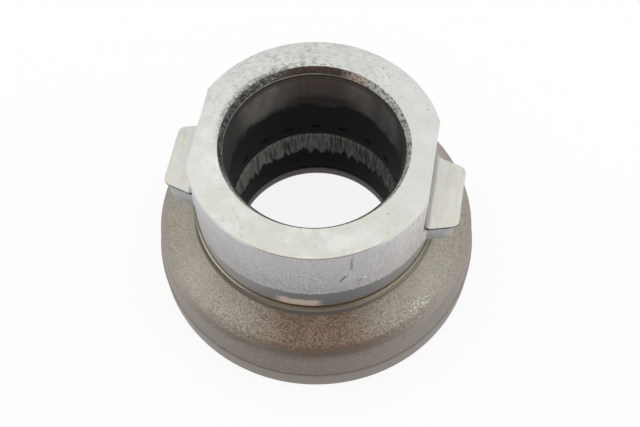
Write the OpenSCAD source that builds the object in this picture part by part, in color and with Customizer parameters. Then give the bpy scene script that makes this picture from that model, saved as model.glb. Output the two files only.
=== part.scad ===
// Clutch release bearing that slides on a guide tube.
// Frame: origin at the centre of the thrust face, +Z along the bore to the top of the sleeve,
// +X through the right fork lug. Millimetres.

/* [Overall] */
// Outer diameter of the flared thrust ring
ring_d = 120; // [118:0.5:124]
// Height from the thrust face to the top of the sleeve
total_h = 68; // [66:0.5:74]
// Diameter of the guide tube that the bushes run on
bore_d = 60; // [59:0.1:60.6]

/* [Guide sleeve] */
// Outer diameter of the sleeve
sleeve_d = 86.6; // [86:0.1:87.4]
// Distance across the two fork flats
flats_w = 80.4; // [79:0.1:82]
// Height of the underside of the sleeve's thick part
sleeve_low = 32.6; // [32.4:0.1:34]
// Height of the free end of the spigot
spigot_low = 0.8; // [0.5:0.1:2]
// Diameter of the spigot's seat for the inner ring
seat_d = 71; // [70.4:0.1:71.4]
// Outer diameter of the chamfer at the bore mouth
mouth_d = 64.8; // [64:0.1:66]
// Depth of the chamfer at the bore mouth
mouth_depth = 2.7; // [2:0.1:3.5]

/* [Fork lugs] */
// Span over the ends of the two wear plates
plate_span = 103.8; // [102:0.1:106]
// Height of the wear plates' upper face
plate_top = 48.3; // [47:0.1:49]
// Thickness of the wear plates
plate_t = 1; // [0.8:0.1:1.4]
// Inside bend radius of the wear plates
plate_bend = 2.8; // [1.8:0.1:3.4]
// Height of the upright leg's edge on the wear plates
leg_top = 53; // [52.5:0.5:66]
// Width of a wear plate at the flat
plate_root_w = 30.4; // [28:0.2:31]
// Width of a wear plate at its outer edge
plate_tip_w = 23.8; // [20:0.2:27]
// Corner radius of a wear plate
plate_corner = 3; // [1:0.5:4]
// Height of a cast lug below its wear plate
lug_h = 8.2; // [6:0.2:9]

/* [Bushes] */
// Wall thickness of the bushes
bush_t = 2; // [1.8:0.1:2.2]
// Height where the lower bush ends and the upper one begins
bush_split = 29.4; // [26:0.1:32]
// Height of the row of grease slots
slot_z = 35; // [33:0.5:45]
// Number of grease slots
slot_count = 18; // [6:1:24]
// Width of a grease slot
slot_w = 3.2; // [2:0.1:5]
// Height of a grease slot
slot_h = 1.8; // [1:0.1:3]

/* [Ball set] */
// Number of balls
ball_count = 16; // [10:1:16]
// Ball diameter
ball_d = 9.525; // [9:0.025:9.525]
// Pitch circle diameter of the balls
pitch_d = 85; // [84.8:0.1:85.2]
// Height of the ball centres
ball_z = 17.5; // [17:0.1:18]
// Width of the inner ring
inner_w = 14; // [13:0.5:15]
// Running clearance between a ball and each raceway
ball_gap = 0.08; // [0.05:0.01:0.12]

/* [Thrust ring] */
// Height of the thrust ring's upright rim
rim_h = 8.8; // [8:0.1:10]
// Height of the thrust ring's neck
neck_h = 31.9; // [31:0.1:32.2]
// Outer diameter of the neck
neck_d = 90; // [89.6:0.1:91]
// Radius of the concave flare below the neck
flare_r = 10.6; // [10.2:0.1:11]
// Diameter of the upper edge of the flange below the flare
flange_d = 116.8; // [116:0.2:117.6]

/* [Hidden] */
$fn = 96;
eps = 0.01;

ring_r = ring_d / 2;
bore_r = bore_d / 2;
bush_r = bore_r + bush_t;
sleeve_r = sleeve_d / 2;
flat_x = flats_w / 2;
seat_r = seat_d / 2;
mouth_r = mouth_d / 2;

// Bore of the sleeve: chamfered mouth, upper seat, dividing rib, lower seat and end lip
lip_r = bore_r + 0.9;
lip_h = 0.8;
upper_seat_top = total_h - mouth_depth - lip_h;
rib_r = bore_r + 1;
rib_h = 1;
end_lip_r = bore_r + 0.6;
end_lip_h = 4.6;
end_lip_top = spigot_low + end_lip_h;
lower_bush_low = end_lip_top + 1.6;
bush_chamfer = 0.5;

// Spigot: shoulder above the inner ring, seat, and groove for the snap ring
inner_top = ball_z + inner_w / 2;
inner_low = ball_z - inner_w / 2;
shoulder_r = seat_r + 3.5;
groove_r = seat_r - 1.2;
groove_h = 1.7;
groove_low = inner_low - groove_h;
edge_chamfer = 0.8;
fine_chamfer = 0.4;

// Wear plates and lugs
plate_reach = plate_span / 2;
plate_low = plate_top - plate_t;
lug_reach = plate_reach - 1.4;
lug_low = plate_low - lug_h;
lug_inset = 0.7;
lug_corner = 2.4;
lug_under_r = 0.45 * lug_h;
lug_root_x = flat_x - 4;
lug_relief = 0.7;
land_inset = 2.4;
land_fillet = plate_bend + 0.8;
root_fillet_r = 1.5;
plate_taper = atan((plate_root_w - plate_tip_w) / 2 / (plate_reach - flat_x));

// Ball set
ball_r = ball_d / 2;
pitch_r = pitch_d / 2;
race_r = 0.52 * ball_d;
race_shift = race_r - ball_r - ball_gap;
inner_land_r = pitch_r - 2.5;
outer_land_r = pitch_r + 2.5;
cage_wall = 2.4;
cage_low = ball_z - 6.3;
cage_top = ball_z + 2.8;
pocket_r = ball_r + 0.25;

// Thrust ring
neck_r = neck_d / 2;
neck_bore_r = neck_r - 1.6;
cavity_top = inner_top - 0.6;
flare_centre = [neck_r + flare_r, neck_h - 1.1];
flange_top = flare_centre.y - flare_r;
rim_chamfer = 0.5;

// Round edge of the flange, and the point where its leaning wall is tangent to it
flange_round = 1.2;
edge_centre = [flange_d / 2 - flange_round, flange_top - flange_round];
wall_foot = [ring_r - fine_chamfer, rim_h];
foot_way = wall_foot - edge_centre;
wall_lean = atan2(foot_way.y, foot_way.x) + acos(flange_round / norm(foot_way));
edge_start = edge_centre + flange_round * [cos(wall_lean), sin(wall_lean)];

seal_seat_r = outer_land_r + 2;
seal_seat_top = inner_low;

// Seals
seal_h = 3;
seal_web = 1.3;
seal_lip_gap = 0.2;
seal_lip_w = 0.9;
upper_seal_low = neck_h - 1.4 - seal_h;
lower_seal_low = groove_low - 1.2 - seal_h;

// Snap ring
snap_h = groove_h - 0.2;
snap_r = seat_r + 2.4;
snap_slit = 9;
ear_r = 1.9;
ear_hole_r = 0.9;
ear_turn = 12;

sleeve_colour = "#d4d4d0";
bush_colour = "#1d1d1c";
plate_colour = "#deddd6";
bearing_colour = "#b9bbbd";
cage_colour = "#3a3a36";
ring_colour = "#8a8177";
seal_colour = "#262626";
snap_colour = "#6f6f6c";

function ball_name(i) = str("ball_", i < 10 ? "0" : "", i);
function half_width(x, inset) = plate_root_w / 2 - inset - (x - flat_x) * tan(plate_taper);

// Ring of square section with its bore and outside edges bevelled
module bevelled_ring(inner, outer, low, high, inner_bevel, outer_bevel) {
    rotate_extrude()
        polygon([
            [inner + inner_bevel, low], [outer - outer_bevel, low],
            [outer, low + outer_bevel], [outer, high - outer_bevel],
            [outer - outer_bevel, high], [inner + inner_bevel, high],
            [inner, high - inner_bevel], [inner, low + inner_bevel]
        ]);
}

// Plan of a lug or wear plate: narrows outwards, with round outer corners
module lug_plan(reach, inset, corner) {
    tip = half_width(reach, inset);
    centre_y = tip - corner * (1 - sin(plate_taper)) / cos(plate_taper);
    side = [reach - corner + corner * sin(plate_taper), centre_y + corner * cos(plate_taper)];
    root = half_width(lug_root_x, inset);
    polygon([
        [lug_root_x, -root], [side.x, -side.y], [reach, -centre_y],
        [reach, centre_y], [side.x, side.y], [lug_root_x, root]
    ]);
    for (s = [-1, 1])
        translate([reach - corner, s * centre_y])
            circle(corner);
}

// Upright section in x and z, carried across the width of a lug
module across(width) {
    rotate([90, 0, 0])
        linear_extrude(width, center = true)
            children();
}

module lug_section() {
    body_h = lug_h - lug_relief;
    translate([lug_root_x, lug_low + lug_under_r])
        square([lug_reach - lug_root_x, body_h - lug_under_r]);
    translate([lug_root_x, lug_low])
        square([lug_reach - lug_under_r - lug_root_x, body_h]);
    translate([lug_reach - lug_under_r, lug_low + lug_under_r])
        circle(lug_under_r);
}

// Narrow land that carries the wear plate, filleted into the fork flat
module land_section() {
    low = plate_low - lug_relief - eps;
    translate([lug_root_x, low])
        square([lug_reach - land_inset - lug_root_x, plate_low - low]);
    difference() {
        translate([lug_root_x, plate_low - eps])
            square([flat_x + land_fillet - lug_root_x, land_fillet]);
        translate([flat_x + land_fillet, plate_low + land_fillet])
            circle(land_fillet);
    }
}

// Plan of the hollow fillet between one side of a lug and the round of the sleeve
module root_fillet_plan() {
    slope = tan(plate_taper);
    offset_y = half_width(0, lug_inset) + root_fillet_r / cos(plate_taper);
    span = sleeve_r + root_fillet_r;
    reach = offset_y * offset_y - span * span;
    steep = 1 + slope * slope;
    x = (offset_y * slope + sqrt(pow(offset_y * slope, 2) - steep * reach)) / steep;
    centre = [x, offset_y - slope * x];
    difference() {
        polygon([
            [lug_root_x, 0], centre * sleeve_r / span, centre,
            centre - root_fillet_r * [sin(plate_taper), cos(plate_taper)]
        ]);
        translate(centre)
            circle(root_fillet_r);
    }
}

module lug() {
    intersection() {
        across(2 * plate_root_w)
            lug_section();
        linear_extrude(total_h)
            lug_plan(lug_reach, lug_inset, lug_corner);
    }
    intersection() {
        across(2 * plate_root_w)
            land_section();
        linear_extrude(total_h)
            lug_plan(lug_reach, lug_inset + land_inset, lug_corner);
    }
    for (side = [0, 1])
        mirror([0, side, 0])
            translate([0, 0, lug_low])
                linear_extrude(lug_h - lug_relief)
                    root_fillet_plan();
}

module sleeve_section() {
    difference() {
        polygon([
            [end_lip_r, spigot_low + fine_chamfer], [end_lip_r + fine_chamfer, spigot_low],
            [seat_r - edge_chamfer, spigot_low], [seat_r, spigot_low + edge_chamfer],
            [seat_r, groove_low], [groove_r, groove_low],
            [groove_r, inner_low], [seat_r, inner_low],
            [seat_r, inner_top], [shoulder_r, inner_top],
            [shoulder_r, sleeve_low], [sleeve_r - fine_chamfer, sleeve_low],
            [sleeve_r, sleeve_low + fine_chamfer], [sleeve_r, total_h - fine_chamfer],
            [sleeve_r - fine_chamfer, total_h], [mouth_r, total_h],
            [lip_r, total_h - mouth_depth], [lip_r, upper_seat_top],
            [end_lip_r, upper_seat_top]
        ]);
        translate([0, end_lip_top])
            square([bush_r, bush_split - end_lip_top]);
        translate([0, bush_split])
            square([rib_r, rib_h]);
        translate([0, bush_split + rib_h])
            square([bush_r, upper_seat_top - bush_split - rib_h + eps]);
    }
}

module guide_sleeve() {
    color(sleeve_colour) {
        difference() {
            rotate_extrude()
                sleeve_section();
            for (turn = [0, 180])
                rotate([0, 0, turn])
                    translate([flat_x, -sleeve_r, plate_low])
                        cube([sleeve_r, 2 * sleeve_r, total_h]);
        }
        for (turn = [0, 180])
            rotate([0, 0, turn])
                lug();
    }
}

module upper_bush() {
    color(bush_colour)
        difference() {
            bevelled_ring(bore_r, bush_r, bush_split + rib_h, upper_seat_top, bush_chamfer, 0);
            for (i = [0 : slot_count - 1])
                rotate([0, 0, i * 360 / slot_count])
                    translate([bore_r - bush_t, -slot_w / 2, slot_z - slot_h / 2])
                        cube([3 * bush_t, slot_w, slot_h]);
        }
}

module lower_bush() {
    color(bush_colour)
        bevelled_ring(bore_r, bush_r, lower_bush_low, bush_split, bush_chamfer, 0);
}

module plate_section() {
    bend_x = flat_x + plate_t + plate_bend;
    bend_z = plate_top + plate_bend;
    translate([bend_x, plate_low])
        square([plate_reach - bend_x, plate_t]);
    translate([flat_x, bend_z])
        square([plate_t, leg_top - bend_z]);
    translate([bend_x, bend_z])
        intersection() {
            difference() {
                circle(plate_bend + plate_t);
                circle(plate_bend);
            }
            translate([-2 * bend_x, -2 * bend_x])
                square(2 * bend_x);
        }
}

module wear_plate() {
    color(plate_colour)
        intersection() {
            across(2 * plate_root_w)
                plate_section();
            linear_extrude(total_h)
                lug_plan(plate_reach, 0, plate_corner);
        }
}

module left_wear_plate() {
    rotate([0, 0, 180])
        wear_plate();
}

module right_wear_plate() {
    wear_plate();
}

module inner_ring() {
    color(bearing_colour)
        difference() {
            bevelled_ring(seat_r, inner_land_r, inner_low, inner_top, fine_chamfer, fine_chamfer);
            rotate_extrude()
                translate([pitch_r + race_shift, ball_z])
                    circle(race_r);
        }
}

module snap_ring() {
    color(snap_colour)
        translate([0, 0, groove_low + (groove_h - snap_h) / 2])
            difference() {
                union() {
                    difference() {
                        cylinder(h = snap_h, r = snap_r);
                        translate([0, 0, -eps])
                            cylinder(h = snap_h + 2 * eps, r = groove_r);
                        translate([0, -snap_slit / 2, -eps])
                            cube([2 * snap_r, snap_slit, snap_h + 2 * eps]);
                    }
                    for (s = [-1, 1])
                        rotate([0, 0, s * ear_turn])
                            translate([snap_r, 0, 0])
                                cylinder(h = snap_h, r = ear_r);
                }
                for (s = [-1, 1])
                    rotate([0, 0, s * ear_turn])
                        translate([snap_r, 0, -eps])
                            cylinder(h = snap_h + 2 * eps, r = ear_hole_r);
            }
}

module on_pitch(i) {
    rotate([0, 0, (i - 1) * 360 / ball_count])
        translate([pitch_r, 0, ball_z])
            children();
}

module ball(i) {
    color(bearing_colour)
        on_pitch(i)
            sphere(ball_r);
}

module ball_cage() {
    color(cage_colour)
        difference() {
            bevelled_ring(pitch_r - cage_wall / 2, pitch_r + cage_wall / 2, cage_low, cage_top, 0, 0);
            for (i = [1 : ball_count])
                on_pitch(i)
                    sphere(pocket_r);
        }
}

// Half section of the thrust ring: rim, leaning flange with a round edge, hollow flare and neck
module thrust_section() {
    difference() {
        union() {
            polygon([
                [neck_bore_r, 0], [ring_r - rim_chamfer, 0], [ring_r, rim_chamfer],
                [ring_r, rim_h - fine_chamfer], wall_foot, edge_start, edge_centre,
                [edge_centre.x, flange_top], [neck_bore_r, flange_top]
            ]);
            intersection() {
                translate(edge_centre)
                    circle(flange_round);
                polygon([
                    edge_centre, 2 * edge_start - edge_centre,
                    edge_centre + 2 * flange_round * [1, 1], edge_centre + [0, 2 * flange_round]
                ]);
            }
            difference() {
                translate([neck_bore_r, flange_top - eps])
                    square([flare_centre.x - neck_bore_r, neck_h - flange_top + eps]);
                translate(flare_centre)
                    circle(flare_r);
                translate([neck_r, flare_centre.y])
                    square([ring_r, neck_h]);
                polygon([
                    [neck_r - fine_chamfer, neck_h], [neck_r, neck_h - fine_chamfer],
                    [neck_r + fine_chamfer, neck_h]
                ]);
            }
        }
        translate([0, seal_seat_top - eps])
            square([outer_land_r, cavity_top - seal_seat_top + eps]);
        square([seal_seat_r, seal_seat_top]);
        polygon([
            [seal_seat_r - eps, -eps], [seal_seat_r + edge_chamfer, -eps],
            [seal_seat_r - eps, edge_chamfer]
        ]);
        translate([pitch_r - race_shift, ball_z])
            circle(race_r);
    }
}

module thrust_ring() {
    color(ring_colour)
        rotate_extrude()
            thrust_section();
}

// Seal fixed at its outside, with a thin web and a pointed lip that clears the shaft
module seal(lip_shaft_r, outer, low) {
    lip = lip_shaft_r + seal_lip_gap;
    web_low = low + (seal_h - seal_web) / 2;
    web_high = web_low + seal_web;
    foot = outer - seal_lip_w;
    color(seal_colour)
        rotate_extrude()
            polygon([
                [lip, (web_low + web_high) / 2], [lip + seal_lip_w, low],
                [lip + 2 * seal_lip_w, web_low], [foot, web_low],
                [foot, low], [outer, low], [outer, low + seal_h], [foot, low + seal_h],
                [foot, web_high], [lip + 2 * seal_lip_w, web_high], [lip + seal_lip_w, low + seal_h]
            ]);
}

module upper_seal() {
    seal(shoulder_r, neck_bore_r, upper_seal_low);
}

module lower_seal() {
    seal(seat_r, seal_seat_r, lower_seal_low);
}

guide_sleeve();
upper_bush();
lower_bush();
left_wear_plate();
right_wear_plate();
inner_ring();
snap_ring();
ball_cage();
thrust_ring();
upper_seal();
lower_seal();
for (i = [1 : ball_count])
    ball(i);
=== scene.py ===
import math

import bmesh
import bpy
from mathutils import Matrix, Vector


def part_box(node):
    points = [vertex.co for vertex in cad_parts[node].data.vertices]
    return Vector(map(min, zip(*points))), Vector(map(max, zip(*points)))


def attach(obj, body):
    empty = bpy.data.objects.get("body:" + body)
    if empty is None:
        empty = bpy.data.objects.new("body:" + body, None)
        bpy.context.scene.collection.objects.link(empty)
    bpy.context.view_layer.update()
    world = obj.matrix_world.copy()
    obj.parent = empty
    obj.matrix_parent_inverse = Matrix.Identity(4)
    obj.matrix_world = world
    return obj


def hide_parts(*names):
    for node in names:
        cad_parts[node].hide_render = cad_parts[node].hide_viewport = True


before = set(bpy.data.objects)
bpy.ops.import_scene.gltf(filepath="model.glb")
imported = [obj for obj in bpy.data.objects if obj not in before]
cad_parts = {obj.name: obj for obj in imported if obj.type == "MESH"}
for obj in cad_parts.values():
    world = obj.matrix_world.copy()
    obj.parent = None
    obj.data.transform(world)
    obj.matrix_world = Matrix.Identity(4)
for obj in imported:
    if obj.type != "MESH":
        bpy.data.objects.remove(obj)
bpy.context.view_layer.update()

# Lengths below are in millimetres, and meshes are scaled to metres as they are made.
MM = 0.001

# Edges sharper than this stay sharp in smooth shading, in degrees
SHARP_DEG = 40


def low_high(node, axis):
    """Lowest and highest place of a CAD node along an axis, in millimetres."""
    low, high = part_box(node)
    return low[axis] / MM, high[axis] / MM


# Sizes read from the frame
RING_R = low_high("thrust_ring", 1)[1]
NECK_H = low_high("thrust_ring", 2)[1]
SLEEVE_LOW, TOTAL_H = low_high("guide_sleeve", 2)
SLEEVE_R = low_high("guide_sleeve", 1)[1]
LUG_REACH = low_high("guide_sleeve", 0)[1]
FLAT_X, PLATE_REACH = low_high("right_wear_plate", 0)
PLATE_LOW, LEG_TOP = low_high("right_wear_plate", 2)
PLATE_ROOT = low_high("right_wear_plate", 1)[1]
UPPER_BUSH_LOW, UPPER_BUSH_TOP = low_high("upper_bush", 2)
LOWER_BUSH_LOW, LOWER_BUSH_TOP = low_high("lower_bush", 2)
BUSH_R = low_high("lower_bush", 1)[1]
INNER_RING_T = 4.5
SEAT_R = low_high("inner_ring", 1)[1] - INNER_RING_T
INNER_LOW, INNER_TOP = low_high("inner_ring", 2)

# Sleeve section
BUSH_T = 2.0
BORE_R = BUSH_R - BUSH_T
MOUTH_R = 32.4
MOUTH_DEPTH = 2.7
LIP_R = BORE_R + 0.9
RIB_R = BORE_R + 1.0
END_LIP_R = BORE_R + 0.6
END_LIP_TOP = SLEEVE_LOW + 4.6
SHOULDER_R = SEAT_R + 3.5
SKIRT_LOW = 32.6
GROOVE_R = SEAT_R - 1.2
GROOVE_H = 1.7

# Wear plates and lugs
PLATE_T = 1.0
PLATE_BEND = 2.8
PLATE_TOP = PLATE_LOW + PLATE_T
PLATE_TIP = 11.9
PLATE_SLOPE = (PLATE_ROOT - PLATE_TIP) / (PLATE_REACH - FLAT_X)
PLATE_TAPER = math.atan(PLATE_SLOPE)
PLATE_CORNER = 3.0
LUG_H = 8.2
LUG_RELIEF = 0.7
LUG_LOW = PLATE_LOW - LUG_H
LUG_INSET = 0.7
LUG_CORNER = 2.4
LUG_UNDER_R = 0.45 * LUG_H
LUG_ROOT_X = FLAT_X - 4.0
LUG_TOP = PLATE_LOW - LUG_RELIEF
LAND_INSET = 2.4
ROOT_FILLET_R = 1.5

# Grease slots
SLOT_COUNT = 18
SLOT_Z = 35.0
SLOT_W = 3.2
SLOT_H = 1.8

# Thrust ring section
RIM_H = 8.8
RIM_CHAMFER = 0.5
RIM_BEVEL = 0.4
NECK_R = 45.0
NECK_BORE_R = NECK_R - 1.6
FLARE_R = 10.6
FLARE_Z = NECK_H - 1.1
FLANGE_R = 58.4
FLANGE_TOP = FLARE_Z - FLARE_R
FLANGE_ROUND = 1.2
PITCH_R = 42.5
BALL_Z = (INNER_LOW + INNER_TOP) / 2
LAND_R = PITCH_R + 2.5
SEAL_SEAT_R = LAND_R + 2.0
RACE_R = 4.953
RACE_SHIFT = 0.11

# Camera, from the photograph of 640 by 427 pixels
IMAGE_W = 640
FOCAL_PX = 966.0
SENSOR_MM = 36.0
CAMERA_AZIMUTH = 11.29
CAMERA_ELEVATION = 61.72
CAMERA_DISTANCE = 381.2
CAMERA_ROLL = 1.29
ORIGIN_LEFT_PX = 3.5
ORIGIN_DOWN_PX = 26.7

# Directions on the object as the camera sees them, in degrees about +Z
SEEN_FRONT = CAMERA_AZIMUTH - 90
SEEN_RIGHT = CAMERA_AZIMUTH
SEEN_BACK = CAMERA_AZIMUTH + 90

# Middles of painted light, a painted reflection, stains and worn places on the sleeve's wall, in
# degrees about +Z
LIT_WALL_DEG = -20
RUBBED_DEG = -100
BRUSHED_DEG = -35
BRUSHED_MOST_DEG = -27
REFLECTION_DEG = -73
BLUSH_DEG = -87.5
CRACK_DEG = -64

# The same on the thrust ring: painted light and painted highlights on the flare and the neck's top, and
# less painted shade under a lug
LIT_LEFT_DEG = -137
LIT_RIGHT_DEG = -23
FLARE_HIGHLIGHT_DEG = -35.5
NECK_HIGHLIGHT_DEG = -134
UNDER_LUG_DEG = -170

# Limits of worn places and painted light: mouth, flare's grain, painted reflection above the gap,
# painted sheen on both bushes, sleeve's lower end
MOUTH_EDGE_R = MOUTH_R + 0.2
FLARE_EDGE_R = 55.0
# Height and slope of the painted reflection's edge above the gap
REFLECTION_Z = 34.8
REFLECTION_SLOPE = 0.1755
RUB_SHEEN_LOW = 18.6
DULL_SHEEN_LOW = 48.5
END_PAINT_TOP = 10.0

# Studio: light from the world, the share of the floor's white that a shadow can take away,
# light on the open floor, its grey as it throws light back, and half its side in metres
WORLD_LIGHT = 0.6
FLOOR_SHADE = 0.15
FLOOR_LIGHT = 0.9
FLOOR_BOUNCE = 0.8
FLOOR_HALF = 4.0


# Outline helpers

def arc(centre, radius, start, end, steps):
    """Points of an arc in a plane, angles in degrees."""
    points = []
    for i in range(steps + 1):
        a = math.radians(start + (end - start) * i / steps)
        points.append((centre[0] + radius * math.cos(a), centre[1] + radius * math.sin(a)))
    return points


def rounded(corners, steps=4):
    """Closed outline from (x, y, radius) corners, with each radius as a short arc."""
    outline = []
    count = len(corners)
    straight = math.radians(88)
    for i, (x, y, radius) in enumerate(corners):
        here = Vector((x, y))
        before = Vector(corners[i - 1][:2]) - here
        after = Vector(corners[(i + 1) % count][:2]) - here
        if radius <= 0 or before.length < 1e-9 or after.length < 1e-9:
            outline.append((x, y))
            continue
        before.normalize()
        after.normalize()
        half = math.acos(max(-1.0, min(1.0, before.dot(after)))) / 2
        if half > straight:
            outline.append((x, y))
            continue
        reach = radius / math.tan(half)
        middle = (before + after).normalized() * (radius / math.sin(half)) + here
        first = here + before * reach - middle
        last = here + after * reach - middle
        start = math.atan2(first.y, first.x)
        sweep = math.atan2(last.y, last.x) - start
        sweep = (sweep + math.pi) % (2 * math.pi) - math.pi
        for k in range(steps + 1):
            a = start + sweep * k / steps
            outline.append((middle.x + radius * math.cos(a), middle.y + radius * math.sin(a)))
    return outline


# Mesh helpers

def smooth_shade(mesh):
    """Smooth shading between sharp edges."""
    mesh.shade_smooth()
    mesh.set_sharp_from_angle(angle=math.radians(SHARP_DEG))


def add_object(name, data):
    obj = bpy.data.objects.new(name, data)
    bpy.context.scene.collection.objects.link(obj)
    return obj


def add_piece(mesh):
    """Adds a mesh as an object of the same name."""
    mesh.validate()
    smooth_shade(mesh)
    return add_object(mesh.name, mesh)


def grid_mesh(name, rings, closed_rings=True):
    """Quads between rings in millimetres. The last ring joins the first, or both are capped."""
    size = len(rings[0])
    verts = [Vector(p) * MM for ring in rings for p in ring]
    faces = []
    last = len(rings) if closed_rings else len(rings) - 1
    for i in range(last):
        a = i * size
        b = (i + 1) % len(rings) * size
        for k in range(size):
            n = (k + 1) % size
            faces.append((a + k, a + n, b + n, b + k))
    if not closed_rings:
        faces.append(tuple(reversed(range(size))))
        faces.append(tuple((len(rings) - 1) * size + k for k in range(size)))
    mesh = bpy.data.meshes.new(name)
    mesh.from_pydata(verts, [], faces)
    tidy = bmesh.new()
    tidy.from_mesh(mesh)
    bmesh.ops.recalc_face_normals(tidy, faces=tidy.faces)
    tidy.to_mesh(mesh)
    tidy.free()
    return mesh


def lathe(name, outline, segments=288):
    """Closed outline in (radius, z) turned about the Z axis."""
    rings = []
    for r, z in outline:
        ring = []
        for k in range(segments):
            a = 2 * math.pi * k / segments
            ring.append((r * math.cos(a), r * math.sin(a), z))
        rings.append(ring)
    return grid_mesh(name, rings)


def band_section(half_w, half_t, edge, steps=3):
    """Round-cornered rectangle, width first, thickness second."""
    edge = min(edge, half_w * 0.9, half_t * 0.9)
    return rounded([
        (-half_w, -half_t, edge), (half_w, -half_t, edge),
        (half_w, half_t, edge), (-half_w, half_t, edge),
    ], steps)


def loft(name, stations):
    """Solid through sections given as (x, z, normal x, normal z, half width, half thickness, edge)."""
    rings = []
    for x, z, nx, nz, half_w, half_t, edge in stations:
        rings.append([(x + nx * v, y, z + nz * v) for y, v in band_section(half_w, half_t, edge)])
    return grid_mesh(name, rings, closed_rings=False)


def apply_boolean(obj, cutter, operation):
    """Joins or cuts with another object, which is then removed."""
    change = obj.modifiers.new(operation.lower(), "BOOLEAN")
    change.operation = operation
    change.solver = "EXACT"
    change.object = cutter
    graph = bpy.context.evaluated_depsgraph_get()
    made = bpy.data.meshes.new_from_object(obj.evaluated_get(graph))
    obj.modifiers.clear()
    old = obj.data
    obj.data = made
    bpy.data.meshes.remove(old)
    bpy.data.objects.remove(cutter)


def turned_half(obj):
    """Turns a mesh half a turn about the Z axis."""
    obj.data.transform(Matrix.Rotation(math.pi, 4, "Z"))


def stand_for(obj, node, body):
    """A finer mesh of the same form takes a CAD node's place."""
    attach(obj, body)
    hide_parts(node)


# Shapes

def half_width(x, inset):
    """Half width of a lug or plate at a distance from the axis, with sharp outer corners."""
    return PLATE_ROOT - inset - (x - FLAT_X) * PLATE_SLOPE


def plan_half_width(x, reach, inset, corner):
    """Half width with the outer corners rounded."""
    centre_x = reach - corner
    centre_y = half_width(reach, inset) - corner * (1 - math.sin(PLATE_TAPER)) / math.cos(PLATE_TAPER)
    if x <= centre_x + corner * math.sin(PLATE_TAPER):
        return half_width(x, inset)
    return centre_y + math.sqrt(max(0.0, corner ** 2 - (x - centre_x) ** 2))


def end_round(reach, edge, steps=4):
    """Distances from the axis and shrink of the section over a rounded outer edge."""
    for k in range(steps + 1):
        a = math.radians(90 * k / steps)
        yield reach - edge + edge * math.sin(a), edge * (1 - math.cos(a))


def wear_plate_mesh(name):
    """Bent plate: a leg on the flat, a quarter bend, and a tongue on the lug."""
    edge = 0.35
    bend_steps = 12
    tip_steps = 20
    half_t = PLATE_T / 2
    bend_x = FLAT_X + PLATE_T + PLATE_BEND
    bend_z = PLATE_TOP + PLATE_BEND
    middle_r = PLATE_BEND + half_t
    stations = []
    for z, shrink in end_round(LEG_TOP, edge):
        width = half_width(FLAT_X, 0) - shrink
        stations.append((FLAT_X + half_t, z, 1, 0, width, half_t - shrink, edge))
    stations.reverse()
    for k in range(bend_steps + 1):
        a = math.radians(180 + 90 * k / bend_steps)
        x = bend_x + middle_r * math.cos(a)
        z = bend_z + middle_r * math.sin(a)
        stations.append((x, z, -math.cos(a), -math.sin(a), half_width(x, 0), half_t, edge))
    flat_end = PLATE_REACH - PLATE_CORNER
    for k in range(1, tip_steps + 1):
        x = flat_end + (PLATE_REACH - edge - flat_end) * k / tip_steps
        width = plan_half_width(x, PLATE_REACH, 0, PLATE_CORNER)
        stations.append((x, PLATE_LOW + half_t, 0, 1, width, half_t, edge))
    for x, shrink in end_round(PLATE_REACH, edge):
        width = plan_half_width(x, PLATE_REACH, 0, PLATE_CORNER) - shrink
        stations.append((x, PLATE_LOW + half_t, 0, 1, width, half_t - shrink, edge))
    return loft(name, stations)


def lug_mesh(name):
    """Lug with a rounded outer end, whose underside rises in an arc."""
    edge = 0.5
    root_steps = 8
    arc_steps = 14
    arc_deg = 80
    stations = []
    bend_start = LUG_REACH - LUG_UNDER_R

    def station(x, shrink):
        rise = max(0.0, x - bend_start)
        low = LUG_LOW + LUG_UNDER_R - math.sqrt(LUG_UNDER_R ** 2 - rise ** 2)
        width = plan_half_width(x, LUG_REACH, LUG_INSET, LUG_CORNER) - shrink
        stations.append((x, (LUG_TOP + low) / 2, 0, 1, width, (LUG_TOP - low) / 2 - shrink, edge))

    for k in range(root_steps):
        station(LUG_ROOT_X + (bend_start - LUG_ROOT_X) * k / root_steps, 0)
    for k in range(arc_steps):
        a = math.radians(arc_deg * k / arc_steps)
        station(bend_start + LUG_UNDER_R * math.sin(a), 0)
    for x, shrink in end_round(LUG_REACH, edge):
        station(x, shrink)
    return loft(name, stations)


def land_mesh(name):
    """Narrow land on a lug that carries the wear plate."""
    edge = 0.1
    overlap = 0.5
    half_t = (LUG_RELIEF + overlap) / 2
    stations = []
    for x in (LUG_ROOT_X, LUG_REACH - LAND_INSET):
        width = half_width(x, LUG_INSET + LAND_INSET)
        stations.append((x, PLATE_LOW - half_t, 0, 1, width, half_t, edge))
    return loft(name, stations)


def root_fillet_mesh(name, side):
    """Hollow fillet between one side of a lug and the round of the sleeve."""
    steps = 10
    inside = 0.03
    start_y = half_width(0, LUG_INSET) + ROOT_FILLET_R / math.cos(PLATE_TAPER)
    span = SLEEVE_R + ROOT_FILLET_R
    steep = 1 + PLATE_SLOPE ** 2
    lean = start_y * PLATE_SLOPE
    x = (lean + math.sqrt(lean ** 2 - steep * (start_y ** 2 - span ** 2))) / steep
    centre = (x, start_y - PLATE_SLOPE * x)
    from_lug = math.degrees(math.atan2(-math.cos(PLATE_TAPER), -math.sin(PLATE_TAPER)))
    from_round = math.degrees(math.atan2(-centre[1], -centre[0]))
    plan = [(LUG_ROOT_X, 0.0)] + arc(centre, ROOT_FILLET_R, from_lug, from_round, steps)
    rings = [[(px, py * side, z) for px, py in plan] for z in (LUG_LOW + inside, LUG_TOP - inside)]
    return grid_mesh(name, rings, closed_rings=False)


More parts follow.
